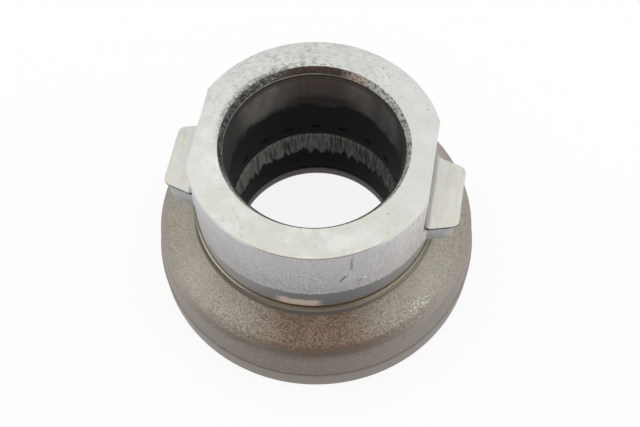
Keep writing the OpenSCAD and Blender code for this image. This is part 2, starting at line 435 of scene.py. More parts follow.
def flat_outline():
    """Plan outline of the sleeve with its two fork flats, as points in order."""
    corner_deg = math.degrees(math.acos(FLAT_X / SLEEVE_R))
    corner_y = SLEEVE_R * math.sin(math.radians(corner_deg))
    corner_round = 0.7
    arc_steps = 130
    flat_steps = 24
    corners = []
    for side in (0, 180):
        turn = Matrix.Rotation(math.radians(side), 2)
        points = [(FLAT_X, corner_y * (2 * k / flat_steps - 1), 0) for k in range(1, flat_steps)]
        points.append((FLAT_X, corner_y, corner_round))
        span = 180 - 2 * corner_deg
        for k in range(1, arc_steps):
            a = math.radians(corner_deg + span * k / arc_steps)
            points.append((SLEEVE_R * math.cos(a), SLEEVE_R * math.sin(a), 0))
        points.append((-FLAT_X, corner_y, corner_round))
        for x, y, r in points:
            p = turn @ Vector((x, y))
            corners.append((p.x, p.y, r))
    return rounded(corners, 4)


def sleeve_profile():
    """Section of the sleeve as (radius, z, flats): flats is 1 where the plan follows the fork flats."""
    fine = 0.3
    ledge = 0.05
    longest = 2.5
    outline = rounded([
        (END_LIP_R, SLEEVE_LOW, 0.4), (SEAT_R, SLEEVE_LOW, 0.7),
        (SEAT_R, INNER_LOW - GROOVE_H, fine),
        (GROOVE_R, INNER_LOW - GROOVE_H, 0), (GROOVE_R, INNER_LOW, 0),
        (SEAT_R, INNER_LOW, fine), (SEAT_R, INNER_TOP, 0), (SHOULDER_R, INNER_TOP, fine),
        (SHOULDER_R, SKIRT_LOW, 0.5), (SLEEVE_R, SKIRT_LOW, 0.4),
        (SLEEVE_R, PLATE_LOW, 0), (SLEEVE_R, PLATE_LOW + ledge, 0), (SLEEVE_R, TOTAL_H, 0.45),
        (MOUTH_R, TOTAL_H, 0.35), (LIP_R, TOTAL_H - MOUTH_DEPTH, 0.25), (LIP_R, UPPER_BUSH_TOP, 0.15),
        (BUSH_R, UPPER_BUSH_TOP, 0), (BUSH_R, UPPER_BUSH_LOW, 0),
        (RIB_R, UPPER_BUSH_LOW, 0.15), (RIB_R, LOWER_BUSH_TOP, 0.15),
        (BUSH_R, LOWER_BUSH_TOP, 0), (BUSH_R, END_LIP_TOP, 0), (END_LIP_R, END_LIP_TOP, 0.3),
    ])
    dense = []
    for i, (r, z) in enumerate(outline):
        r2, z2 = outline[(i + 1) % len(outline)]
        pieces = max(1, int(math.hypot(r2 - r, z2 - z) / longest))
        for k in range(pieces):
            dense.append((r + (r2 - r) * k / pieces, z + (z2 - z) * k / pieces))
    upper = PLATE_LOW + ledge / 2
    return [(r, z, 1.0 if z > upper and r > MOUTH_R else 0.0) for r, z in dense]


def sleeve_mesh(name):
    """Section swept round the plan, drawn in to the fork flats where it follows them."""
    plan = flat_outline()
    rings = []
    for r, z, flats in sleeve_profile():
        ring = []
        for x, y in plan:
            reach = math.hypot(x, y)
            share = flats * (r - MOUTH_R) / (SLEEVE_R - MOUTH_R)
            radius = r - (SLEEVE_R - reach) * share
            ring.append((x / reach * radius, y / reach * radius, z))
        rings.append(ring)
    return grid_mesh(name, rings)


def thrust_profile():
    """Section of the thrust ring: rim, leaning wall, flare, neck, and the ball race inside."""
    edge_centre = Vector((FLANGE_R - FLANGE_ROUND, FLANGE_TOP - FLANGE_ROUND))
    foot = Vector((RING_R - RIM_BEVEL, RIM_H))
    way = foot - edge_centre
    lean = math.degrees(math.atan2(way.y, way.x) + math.acos(FLANGE_ROUND / way.length))
    outside = arc(edge_centre, FLANGE_ROUND, lean, 90, 8)
    outside += arc((NECK_R + FLARE_R, FLARE_Z), FLARE_R, 270, 180, 40)
    land_top = INNER_TOP - 0.6
    race_half = math.degrees(math.acos((LAND_R - PITCH_R + RACE_SHIFT) / RACE_R))
    race = arc((PITCH_R - RACE_SHIFT, BALL_Z), RACE_R, race_half, -race_half, 16)
    corners = [
        (SEAL_SEAT_R, 0, 0.8), (RING_R, 0, RIM_CHAMFER),
        (RING_R, RIM_H - RIM_BEVEL, 0.2), (foot.x, foot.y, 0.1),
    ]
    corners += [(r, z, 0) for r, z in outside]
    corners += [
        (NECK_R, NECK_H, 0.35), (NECK_BORE_R, NECK_H, 0.3),
        (NECK_BORE_R, land_top, 0), (LAND_R, land_top, 0),
    ]
    corners += [(r, z, 0) for r, z in race]
    corners += [(LAND_R, INNER_LOW, 0), (SEAL_SEAT_R, INNER_LOW, 0)]
    return rounded(corners, 5)


def bush_profile(low, high, rows=()):
    """Section of a bush, with extra rows of points on its bore at the heights in rows."""
    corners = [(BORE_R, low, 0.5), (BUSH_R, low, 0), (BUSH_R, high, 0), (BORE_R, high, 0.5)]
    return rounded(corners + [(BORE_R, z, 0) for z in rows], 4)


def slot_cutters(name):
    """Small boxes round the bore, as one mesh."""
    made = bmesh.new()
    for i in range(SLOT_COUNT):
        box = bmesh.ops.create_cube(made, size=1.0)
        size = Matrix.Diagonal((BUSH_T * 3 * MM, SLOT_W * MM, SLOT_H * MM, 1))
        place = Matrix.Translation(((BORE_R + BUSH_T / 2) * MM, 0, SLOT_Z * MM))
        turn = Matrix.Rotation(2 * math.pi * i / SLOT_COUNT, 4, "Z")
        bmesh.ops.transform(made, matrix=turn @ place @ size, verts=box["verts"])
    mesh = bpy.data.meshes.new(name)
    made.to_mesh(mesh)
    made.free()
    return mesh


# Material helpers

class Paint:
    """A procedural material: a Principled shader and short ways to add nodes to it."""

    def __init__(self, name):
        self.material = bpy.data.materials.new(name)
        self.material.use_nodes = True
        self.tree = self.material.node_tree
        self.shader = self.tree.nodes["Principled BSDF"]
        place = self.add("ShaderNodeTexCoord", {})["Object"]
        self.place = self.add("ShaderNodeVectorMath", {0: place, "Scale": 1 / MM}, operation="SCALE")[0]
        self.x, self.y, self.z = self.add("ShaderNodeSeparateXYZ", {0: self.place})
        squares = self.plus(self.times(self.x, self.x), self.times(self.y, self.y))
        self.radius = self.math("SQRT", squares)
        self.angle = self.times(self.math("ARCTAN2", self.y, self.x), 180 / math.pi)

    def add(self, kind, fed, **settings):
        """Adds a node, feeds its sockets, and gives its outputs."""
        node = self.tree.nodes.new(kind)
        for key, value in settings.items():
            setattr(node, key, value)
        for key, value in fed.items():
            self.feed(node.inputs[key], value)
        return node.outputs

    def feed(self, socket, value):
        """Links a socket, or sets it to a number, a vector or a colour."""
        if isinstance(value, bpy.types.NodeSocket):
            self.tree.links.new(value, socket)
        else:
            socket.default_value = (*value, 1) if socket.type == "RGBA" else value

    def math(self, operation, a, b=0.0):
        return self.add("ShaderNodeMath", {0: a, 1: b}, operation=operation)[0]

    def plus(self, a, b):
        return self.math("ADD", a, b)

    def minus(self, a, b):
        return self.math("SUBTRACT", a, b)

    def times(self, first, *others):
        for value in others:
            first = self.math("MULTIPLY", first, value)
        return first

    def larger(self, a, b):
        return self.math("MAXIMUM", a, b)

    def absolute(self, value):
        return self.math("ABSOLUTE", value)

    def stretched(self, x, y, z):
        """Place with a scale of its own along each axis."""
        return self.add("ShaderNodeVectorMath", {0: self.place, 1: (x, y, z)}, operation="MULTIPLY")[0]

    def upright(self, along):
        """Place drawn out to upright streaks where along is below 1."""
        return self.stretched(1, 1, along)

    def polar(self, across, along):
        """Distance from the axis and degrees round it, each with its own scale."""
        fed = {0: self.times(self.radius, across), 1: self.times(self.angle, along)}
        return self.add("ShaderNodeCombineXYZ", fed)[0]

    def noise(self, scale, detail=3.0, rough=0.55, vector=None):
        """Noise with about scale features in a millimetre."""
        fed = {"Vector": vector or self.place, "Scale": scale, "Detail": detail, "Roughness": rough}
        return self.add("ShaderNodeTexNoise", fed)["Fac"]

    def jitter(self, noise, span):
        """Noise about zero, of about this span."""
        return self.times(self.minus(noise, 0.5), span)

    def cells(self, scale):
        """A different value from 0 to 1 in each of about scale cells to a millimetre."""
        colour = self.add("ShaderNodeTexVoronoi", {"Vector": self.place, "Scale": scale})["Color"]
        return self.add("ShaderNodeSeparateColor", {0: colour})[0]

    def step(self, value, low, high, first=0.0, last=1.0):
        """Smooth change from first at low to last at high."""
        fed = {"Value": value, "From Min": low, "From Max": high, "To Min": first, "To Max": last}
        return self.add("ShaderNodeMapRange", fed, interpolation_type="SMOOTHSTEP")["Result"]

    def between(self, share, first, last):
        """Smooth change from first to last as a share goes from 0 to 1."""
        return self.step(share, 0.0, 1.0, first, last)

    def below(self, value, inside, outside):
        """1 up to inside, fading to 0 at outside."""
        return self.step(value, inside, outside, 1.0, 0.0)

    def band(self, value, low, high, soft):
        """1 between low and high, fading over soft on each side."""
        rise = self.step(value, low - soft, low + soft)
        return self.times(rise, self.below(value, high - soft, high + soft))

    def sector(self, middle, half, soft):
        """1 within half degrees of an angle about the axis, fading over soft on each side."""
        shifted = self.plus(self.minus(self.angle, middle), 540)
        turned = self.minus(self.math("MODULO", shifted, 360), 180)
        return self.below(self.absolute(turned), half - soft, half + soft)

    def mix(self, factor, a, b):
        """Colour a where the factor is 0, colour b where it is 1."""
        return self.add("ShaderNodeMix", {0: factor, 6: a, 7: b}, data_type="RGBA")[2]

    def layer(self, colour, coat, *shares):
        """A coat laid over a colour, as strong as the product of its shares."""
        return self.mix(self.times(*shares), colour, coat)

    def bump(self, height, depth_mm, normal=None):
        fed = {"Distance": depth_mm * MM, "Height": height}
        if normal is not None:
            fed["Normal"] = normal
        return self.add("ShaderNodeBump", fed)[0]

    def finish(self, colour, metal, rough, normal, specular=0.5):
        """Feeds the shader. The specular level is a plain constant."""
        fed = {"Base Color": colour, "Metallic": metal, "Roughness": rough, "Normal": normal}
        for key, value in fed.items():
            self.feed(self.shader.inputs[key], value)
        self.shader.inputs["Specular IOR Level"].default_value = specular
        return self.material


# Sleeve materials

def top_face_material():
    """Turned top: pale, stained yellow at the front, rough and pitted at the back."""
    p = Paint("sleeve_top_face")
    grain = p.noise(1.6, 3, 0.7)
    back = p.sector(SEEN_BACK + 12, 50, 45)
    stain = p.step(p.noise(0.14, 4, 0.6), 0.36, 0.62)
    stain = p.times(p.sector(SEEN_FRONT - 5, 60, 35), stain)
    colour = p.mix(p.step(p.noise(0.12, 4), 0.35, 0.7), (0.72, 0.73, 0.685), (0.82, 0.83, 0.79))
    colour = p.layer(colour, (0.63, 0.63, 0.59), p.step(grain, 0.35, 0.7), 0.4)
    colour = p.layer(colour, (0.70, 0.72, 0.74), p.step(p.noise(0.17, 3), 0.5, 0.68), 0.5)
    colour = p.layer(colour, (0.60, 0.575, 0.475), stain, 0.5)
    colour = p.layer(colour, (0.48, 0.49, 0.46), back, 0.3)
    colour = p.layer(colour, (0.60, 0.61, 0.575), p.sector(SEEN_RIGHT, 50, 30), 0.4)
    strokes = p.step(p.noise(0.95, 5, 0.72, p.polar(1.0, 0.30)), 0.47, 0.60)
    scuffs = p.times(back, p.step(p.noise(0.13, 3, 0.6), 0.36, 0.60, 0.4, 1.0), strokes)
    mouth_edge = p.step(p.radius, MOUTH_R + 4.1, MOUTH_EDGE_R)
    scuff_share = p.between(p.times(back, mouth_edge), 0.42, 0.95)
    colour = p.layer(colour, (0.24, 0.225, 0.195), scuffs, scuff_share)
    clusters = p.step(p.noise(0.11, 2), 0.42, 0.6, 0.15, 1.0)
    pits = p.times(p.step(p.noise(0.8, 3, 0.65), 0.62, 0.70), clusters)
    colour = p.layer(colour, (0.16, 0.155, 0.14), pits, p.between(back, 0.4, 0.9))
    smudge = p.times(p.sector(SEEN_BACK + 45, 34, 20), p.step(p.radius, MOUTH_R + 2.6, MOUTH_EDGE_R))
    smudge = p.times(smudge, p.step(p.noise(0.75, 5, 0.7), 0.36, 0.58))
    colour = p.layer(colour, (0.07, 0.068, 0.062), smudge, 0.85)
    normal = p.bump(p.times(p.plus(pits, scuffs), -1.0), 0.06, p.bump(grain, 0.03))
    return p.finish(colour, 0.3, p.step(grain, 0.2, 0.8, 0.45, 0.65), normal)


def wall_material():
    """Turned outside: upright streaks, rubbed and brushed fields, painted light and shade, a painted
    reflection above the gap, a painted highlight and painted light on its edges, and a few marks.
    """
    p = Paint("sleeve_wall")
    streaks = p.noise(1.3, 3, 0.6, p.upright(0.16))
    dashes = p.noise(1.5, 2, 0.6, p.upright(0.55))
    front = p.sector(SEEN_FRONT, 36, 34)
    colour = wall_base(p, streaks, front)
    colour = wall_wear(p, colour, dashes)
    colour = gap_reflection(p, colour)
    colour = wall_edges(p, colour, front)
    scratch = wall_mark(p, (-67.6, 51.7), (1.2, 1.8), 0.5)
    ding = wall_mark(p, (-57.2, 48.5), (0.5, 0.5), 0.7)
    colour = p.layer(colour, (0.05, 0.045, 0.04), p.larger(scratch, small_marks(p, dashes)), 0.8)
    colour = p.mix(ding, colour, (0.98, 0.98, 0.97))
    normal = p.bump(p.plus(streaks, dashes), 0.03)
    normal = p.bump(p.times(p.larger(scratch, ding), -1.0), 0.15, normal)
    return p.finish(colour, 0.25, p.step(streaks, 0.2, 0.8, 0.28, 0.4), normal)


def wall_base(p, streaks, front):
    """Painted light and shade: grey at the front, lighter at the sides and lightest and warmest at the
    right.
    """
    line_share = p.step(streaks, 0.35, 0.65)
    # Painted light and shade: lighter at the sides, lighter and warmer still at the right, darker grey
    # at the front
    sides = p.mix(line_share, (0.60, 0.60, 0.63), (0.67, 0.67, 0.70))
    sides = p.mix(p.sector(LIT_WALL_DEG, 42, 20), sides, (0.80, 0.775, 0.755))
    middle = p.mix(line_share, (0.48, 0.47, 0.485), (0.555, 0.545, 0.565))
    colour = p.mix(front, sides, middle)
    broad = p.step(p.noise(0.16, 3, 0.5, p.upright(0.5)), 0.42, 0.68)
    return p.layer(colour, (0.50, 0.465, 0.455), broad, 0.35)


def wall_wear(p, colour, dashes):
    """Short rub marks left of the front, brushed light and dark to the right of it, and pits."""
    rubbed = p.times(p.sector(RUBBED_DEG, 27, 10), p.band(p.z, 43, 58, 5))
    rubbed = p.between(rubbed, 0.25, 1.0)
    colour = p.layer(colour, (0.29, 0.255, 0.245), rubbed, p.step(dashes, 0.52, 0.66, 0.0, 0.55))
    colour = p.layer(colour, (0.72, 0.69, 0.68), rubbed, p.step(dashes, 0.47, 0.36, 0.0, 0.5))
    brushed = p.noise(0.75, 5, 0.7, p.upright(0.22))
    strongest = p.between(p.sector(BRUSHED_MOST_DEG, 6, 5), 0.4, 1.0)
    right = p.times(strongest, p.sector(BRUSHED_DEG, 32, 16))
    colour = p.layer(colour, (0.95, 0.94, 0.94), right, p.step(brushed, 0.52, 0.66, 0.0, 0.7))
    colour = p.layer(colour, (0.36, 0.345, 0.34), right, p.step(brushed, 0.47, 0.34, 0.0, 0.7))
    return p.layer(colour, (0.18, 0.17, 0.17), p.step(p.noise(0.6, 4, 0.7), 0.66, 0.72), 0.6)


def gap_reflection(p, colour):
    """Painted reflection: a dark band with a torn upper edge on the wall above the gap, highest towards
    the front, with light flecks on its edge; and a pinkish patch low at the front.
    """
    azimuth = math.radians(CAMERA_AZIMUTH)
    toward = p.minus(p.times(p.x, math.sin(azimuth)), p.times(p.y, math.cos(azimuth)))
    torn = p.jitter(p.noise(1.1, 4, 0.7, p.upright(0.1)), 3.0)
    limit = p.plus(p.plus(p.times(toward, REFLECTION_SLOPE), REFLECTION_Z), torn)
    above = p.minus(p.z, limit)
    flecks = p.step(p.noise(1.6, 2, 0.5, p.upright(0.1)), 0.5, 0.62)
    flecks = p.times(p.band(above, 0.0, 1.6, 0.5), flecks)
    colour = p.layer(colour, (0.78, 0.78, 0.78), flecks, 0.6)
    # Painted reflection: a grey band, darkest at the front
    grey = p.mix(p.sector(REFLECTION_DEG, 34, 30), (0.41, 0.41, 0.405), (0.19, 0.195, 0.20))
    colour = p.layer(colour, grey, p.below(above, -0.3, 0.2), 0.9)
    blush_height = p.band(p.plus(p.z, torn), SKIRT_LOW + 0.2, SKIRT_LOW + 4.8, 0.9)
    return p.layer(colour, (0.78, 0.65, 0.54), p.sector(BLUSH_DEG, 9.5, 2.5), blush_height)


def wall_edges(p, colour, front):
    """Upper edge with a painted highlight and a rusty line at the front, and the lower edge painted
    pale, brown at the front, as light in the gap's shade.
    """
    rusty = p.sector(SEEN_FRONT - 1, 27, 9)
    # Painted highlight along the upper edge, left out at the rusty front
    edge_highlight = p.step(p.z, TOTAL_H - 1.5, TOTAL_H - 0.7)
    colour = p.layer(colour, (0.88, 0.88, 0.85), edge_highlight, p.between(rusty, 0.8, 0.0))
    colour = p.layer(colour, (0.30, 0.17, 0.09), p.step(p.z, TOTAL_H - 0.8, TOTAL_H - 0.4), rusty, 0.7)
    # Painted light: the lower edge, in the gap's shade, painted pale, and brown at the front
    low_edge = p.step(p.z, SKIRT_LOW + 0.5, SKIRT_LOW + 0.25)
    return p.mix(low_edge, colour, p.mix(front, (0.75, 0.70, 0.52), (0.48, 0.27, 0.12)))


def small_marks(p, dashes):
    """1 on the dark specks round the ding, on the upright crack and on the nick at the left."""
    halo = p.step(p.noise(1.3, 3, 0.6), 0.50, 0.58, 0.0, 0.7)
    halo = p.times(wall_mark(p, (-58.0, 48.3), (3.0, 1.6), 1.3), halo)
    crack = p.times(p.sector(CRACK_DEG, 0.6, 0.6), p.band(p.z, 57, 65, 2))
    crack = p.times(crack, p.step(p.noise(0.9, 4, 0.7), 0.42, 0.54, 0.25, 0.9))
    nick = p.times(wall_mark(p, (-145.5, 55.5), (0.5, 1.6), 0.6), p.step(dashes, 0.4, 0.55))
    return p.larger(p.larger(crack, halo), nick)


def wall_mark(p, place, reach, width):
    """1 on a slanting mark of the wall: angle and height, half its run and rise, half its width."""
    degree_mm = math.radians(SLEEVE_R)
    along_wall = p.times(p.minus(p.angle, place[0]), degree_mm)
    up = p.minus(p.z, place[1])
    length = math.hypot(*reach)
    run, rise = reach[0] / length, reach[1] / length
    along = p.plus(p.times(along_wall, run), p.times(up, rise))
    across = p.minus(p.times(along_wall, rise), p.times(up, run))
    inside = p.below(p.absolute(along), length * 0.7, length)
    return p.times(inside, p.below(p.absolute(across), width * 0.5, width))


def mouth_material():
    """Chamfer of the mouth, bronze at the back and dark at the left, with a painted highlight on its
    lower edge, and the lips in the bore.
    """
    p = Paint("sleeve_mouth")
    specks = p.noise(0.9, 5, 0.7)
    lines = p.noise(0.7, 4, 0.65, p.upright(3))
    silver = p.mix(p.step(specks, 0.40, 0.54), (0.15, 0.15, 0.14), (0.66, 0.67, 0.62))
    dark = p.mix(p.step(lines, 0.47, 0.66), (0.045, 0.043, 0.045), (0.34, 0.33, 0.30))
    tan = p.mix(p.step(specks, 0.4, 0.56), (0.17, 0.125, 0.09), (0.56, 0.47, 0.38))
    bronze = p.mix(p.step(specks, 0.38, 0.62), (0.025, 0.016, 0.012), (0.10, 0.058, 0.038))
    colour = p.mix(p.sector(SEEN_BACK + 62, 50, 14), silver, dark)
    colour = p.mix(p.sector(SEEN_BACK - 29, 9, 7), colour, tan)
    colour = p.mix(p.sector(SEEN_BACK - 2, 22, 8), colour, bronze)
    chamfer_low = TOTAL_H - MOUTH_DEPTH
    # Painted highlight on the chamfer's lower edge
    lip_highlight = p.band(p.z, chamfer_low, chamfer_low + 0.2, 0.08)
    colour = p.layer(colour, (0.60, 0.56, 0.48), lip_highlight, p.sector(SEEN_BACK + 40, 60, 20), 0.8)
    lip = p.mix(p.sector(SEEN_BACK, 45, 35), (0.045, 0.043, 0.04), (0.10, 0.082, 0.07))
    colour = p.mix(p.step(p.z, chamfer_low - 0.05, chamfer_low - 0.2), colour, lip)
    # End lip: a brown band, partly painted shadow, and a pale lower edge, a painted highlight
    end_lip = p.mix(p.band(p.z, 2.4, 4.4, 0.4), (0.03, 0.026, 0.025), (0.085, 0.062, 0.055))
    end_lip = p.mix(p.step(p.z, 2.0, 1.4), end_lip, (0.32, 0.25, 0.215))
    colour = p.mix(p.step(p.z, END_PAINT_TOP, END_PAINT_TOP - 1), colour, end_lip)
    return p.finish(colour, 0.35, p.step(specks, 0.2, 0.8, 0.35, 0.6), p.bump(specks, 0.05))


def cast_material():
    """Lugs, flats and spigot, with painted highlights on the lug roots and painted shade in the joint
    under the plates.
    """
    p = Paint("sleeve_cast")
    grain = p.noise(1.1, 4, 0.6)
    colour = p.mix(p.step(grain, 0.3, 0.7), (0.37, 0.375, 0.39), (0.49, 0.495, 0.51))
    colour = p.layer(colour, (0.39, 0.38, 0.37), p.step(p.noise(0.25, 3), 0.45, 0.7), 0.5)
    out = p.absolute(p.x)
    lug_side = half_width(FLAT_X, LUG_INSET)
    # Painted highlight: white lines on the lug roots
    root_highlight = p.band(out, FLAT_X - 1.2, FLAT_X + 1.6, 0.3)
    root_highlight = p.times(p.step(p.absolute(p.y), lug_side - 0.4, lug_side), root_highlight)
    colour = p.layer(colour, (0.95, 0.95, 0.94), root_highlight, p.step(p.z, LUG_TOP, LUG_TOP - 0.4), 0.9)
    # Painted shade in the joint under the plates
    joint_shade = p.band(p.z, LUG_TOP - 0.5, PLATE_LOW + 0.02, 0.1)
    colour = p.layer(colour, (0.05, 0.04, 0.035), joint_shade, p.step(out, FLAT_X + 0.6, FLAT_X + 1.4))
    return p.finish(colour, 0.5, p.step(grain, 0.2, 0.8, 0.32, 0.5), p.bump(grain, 0.06))


def plate_material():
    """Satin steel with faint tints and specks, painted shade in the bend, and a cut edge almost black:
    dark steel with a painted shadow line.
    """
    p = Paint("wear_plate_steel")
    streaks = p.noise(0.9, 4, 0.6, p.stretched(1, 0.14, 1))
    tint = p.noise(0.32, 4, 0.6, p.stretched(1, 0.5, 1))
    warm = p.noise(0.28, 4, 0.6, p.stretched(1, 0.5, 1.7))
    grain = p.noise(1.8, 3, 0.6)
    colour = p.mix(p.step(streaks, 0.3, 0.7), (0.63, 0.62, 0.545), (0.755, 0.75, 0.675))
    colour = p.layer(colour, (0.67, 0.69, 0.71), p.step(tint, 0.42, 0.6), 0.5)
    colour = p.layer(colour, (0.72, 0.63, 0.56), p.step(warm, 0.5, 0.62), 0.45)
    colour = p.layer(colour, (0.36, 0.34, 0.31), p.step(p.noise(0.75, 3, 0.6), 0.64, 0.71), 0.55)
    # Painted shade in the bend
    colour = p.layer(colour, (0.36, 0.335, 0.30), p.step(p.z, PLATE_TOP + 0.05, PLATE_TOP + 2.4), 0.75)
    # Cut edge almost black: a dark sheared edge and a painted shadow line under the plate
    cut_edge_and_shadow = p.step(p.z, PLATE_TOP - 0.14, PLATE_TOP - 0.26)
    colour = p.mix(cut_edge_and_shadow, colour, (0.03, 0.024, 0.022))
    height = p.plus(streaks, p.times(grain, 0.5))
    rough = p.larger(p.step(streaks, 0.2, 0.8, 0.38, 0.52), cut_edge_and_shadow)
    metal = p.between(cut_edge_and_shadow, 0.35, 0.0)
    return p.finish(colour, metal, rough, p.bump(height, 0.03), specular=0.3)


# Thrust ring material

def ring_material():
    """Blasted flare, smooth wall and rim, painted shade in the crease, and a neck with painted light
    and shade.
    """
    p = Paint("thrust_ring_steel")
    front = p.sector(SEEN_FRONT + 3, 32, 32)
    flare = blasted_share(p, front)
    clumps = p.noise(1.6, 2, 0.55)
    grain = p.plus(p.times(p.cells(2.1), 0.65), p.step(clumps, 0.35, 0.65, 0.0, 0.35))
    colour = p.mix(flare, smooth_steel(p, front), blasted_steel(p, grain))
    # Painted shade in the crease, strongest at the front
    crease_shade = p.band(p.radius, FLARE_EDGE_R - 1.2, FLARE_EDGE_R + 0.6, 0.9)
    colour = p.layer(colour, (0.125, 0.082, 0.058), crease_shade, front, 0.7)
    colour = neck_paint(p, colour, front)
    height = p.times(p.between(flare, 0.15, 1.0), clumps)
    rough = p.between(flare, 0.45, 0.6)
    return p.finish(colour, 0.25, rough, p.bump(height, 0.2), specular=0.35)


def blasted_share(p, front):
    """1 on the blasted flare, whose grain ends nearer to the axis at the front."""
    limit = p.between(front, FLARE_EDGE_R + 1.4, FLARE_EDGE_R)
    past = p.math("DIVIDE", p.minus(p.radius, limit), p.between(front, 2.2, 0.9))
    return p.times(p.below(past, -1.0, 1.0), p.step(p.z, FLANGE_TOP - 1.4, FLANGE_TOP - 0.6))


def blasted_steel(p, grain):
    """Colour of the flare: coarser and in painted shade at the front, with painted light at the left
    and right, a painted highlight, and a brown painted reflection at the front.
    """
    sides = p.mix(grain, (0.275, 0.25, 0.207), (0.565, 0.52, 0.44))
    coarse = p.mix(grain, (0.155, 0.136, 0.108), (0.61, 0.555, 0.47))
    # Painted shade: darker and coarser at the front
    colour = p.mix(p.sector(SEEN_FRONT - 2, 42, 24), sides, coarse)
    # Painted light on the left and right of the flare
    lit_sides = p.larger(p.sector(LIT_LEFT_DEG, 11, 11), p.sector(LIT_RIGHT_DEG, 11, 11))
    colour = p.layer(colour, (0.64, 0.61, 0.54), lit_sides, 0.24)
    colour = p.layer(colour, (0.38, 0.355, 0.30), p.step(p.noise(0.1, 3), 0.35, 0.7), 0.25)
    # Painted highlight: a bright streak on the grain
    flare_highlight = p.band(p.radius, FLARE_EDGE_R - 3.8, FLARE_EDGE_R - 0.2, 1.4)
    flare_highlight = p.times(p.sector(FLARE_HIGHLIGHT_DEG, 5, 4), flare_highlight)
    colour = p.layer(colour, (0.85, 0.83, 0.79), flare_highlight, p.step(grain, 0.5, 0.8), 0.8)
    # Painted reflection: a brown patch at the front
    reflection_patch = p.times(p.sector(SEEN_FRONT - 1, 22, 14), p.step(p.noise(0.12, 3), 0.1, 0.45))
    front_brown = p.mix(grain, (0.07, 0.036, 0.024), (0.335, 0.22, 0.152))
    return p.layer(colour, front_brown, reflection_patch, 0.9)


def smooth_steel(p, front):
    """Turned wall and rim of the ring, with a painted highlight on the flange's top edge, painted shade
    at the front and in a torn band under the flange's edge, and a line of painted shade at the rim's
    top.
    """
    turned = p.noise(2.0, 3, 0.6, p.stretched(0.1, 0.1, 1))
    colour = p.mix(p.step(turned, 0.3, 0.7), (0.255, 0.222, 0.197), (0.29, 0.255, 0.226))
    # Painted highlight on the flange's top edge
    colour = p.mix(p.step(p.z, FLANGE_TOP - 1.0, FLANGE_TOP), colour, (0.36, 0.318, 0.282))
    # Painted shade at the front
    colour = p.layer(colour, (0.18, 0.15, 0.124), p.sector(SEEN_FRONT - 8, 26, 26), 0.85)
    mottled = p.noise(0.8, 5, 0.7, p.upright(0.5))
    colour = p.mix(p.step(mottled, 0.52, 0.70, 0.0, 0.45), colour, (0.34, 0.305, 0.275))
    colour = p.mix(p.step(mottled, 0.46, 0.30, 0.0, 0.45), colour, (0.125, 0.105, 0.085))
    colour = p.mix(p.step(p.z, RIM_H, RIM_H - 0.4, 0.0, 0.6), colour, (0.25, 0.21, 0.177))
    # Painted shade in a torn band under the flange's edge, at the front and front left
    torn = p.times(p.noise(1.2, 3, 0.6, p.upright(0.15)), 3.0)
    outward = p.minus(p.minus(p.radius, p.z), FLARE_EDGE_R - FLANGE_TOP)
    dark = p.step(p.minus(outward, torn), 0.0, 3.0, 0.75, 0.0)
    shade_place = p.larger(front, p.sector(SEEN_FRONT - 36, 18, 14))
    colour = p.layer(colour, (0.10, 0.08, 0.057), dark, shade_place)
    # Painted shade: a dark line at the step on the rim's top, at the front
    groove_shade = p.times(p.band(p.z, RIM_H - 0.1, RIM_H + 0.25, 0.1), p.sector(SEEN_FRONT, 42, 14))
    return p.layer(colour, (0.085, 0.066, 0.053), groove_shade, 0.55)


def neck_paint(p, colour, front):
    """Neck: painted shade on its side, an olive top in painted shade at the front with painted
    highlights as pale lines at the left and right, and the edge at the gap painted light, orange at the
    front, against the gap's shade.
    """
    left = p.sector(SEEN_FRONT - 62, 40, 20)
    right = p.sector(SEEN_FRONT + 64, 40, 15)
    under_lug = p.sector(UNDER_LUG_DEG, 15, 8)
    # Painted shade on the neck's side, less under the lug
    side = p.mix(front, (0.17, 0.155, 0.13), (0.125, 0.115, 0.10))
    side = p.mix(left, side, (0.10, 0.084, 0.066))
    low = p.plus(p.between(left, NECK_H - 3.2, NECK_H - 2.5), p.times(right, 1.2))
    on_side = p.times(p.step(p.minus(p.z, low), -0.8, 0.8), p.step(p.z, NECK_H, NECK_H - 0.4))
    colour = p.layer(colour, side, on_side, p.between(under_lug, 0.88, 0.25))
    # Top: painted shade at the front and painted highlights as pale lines at the left and right
    top = p.mix(front, (0.46, 0.43, 0.35), (0.20, 0.176, 0.144))
    top = p.mix(p.sector(NECK_HIGHLIGHT_DEG, 18, 10), top, (0.74, 0.70, 0.59))
    top = p.layer(top, (0.12, 0.10, 0.08), p.step(p.radius, NECK_R - 0.9, NECK_R - 0.65), left)
    outer = p.step(p.radius, NECK_R - 0.9, NECK_R - 0.6)
    top = p.mix(right, top, p.mix(outer, (0.55, 0.51, 0.41), (0.29, 0.26, 0.195)))
    top = p.mix(under_lug, top, (0.40, 0.37, 0.31))
    colour = p.mix(p.step(p.z, NECK_H - 0.25, NECK_H - 0.1), colour, top)
    # Painted light: the edge at the gap, in shade, painted pale, and orange at the front
    inner = p.step(p.radius, NECK_BORE_R + 0.3, NECK_BORE_R + 0.1)
    inner = p.times(inner, p.step(p.z, NECK_H - 3.9, NECK_H - 2.9))
    return p.mix(inner, colour, p.mix(front, (0.85, 0.80, 0.60), (0.60, 0.35, 0.18)))


# Materials of the bushes and of the hidden pieces

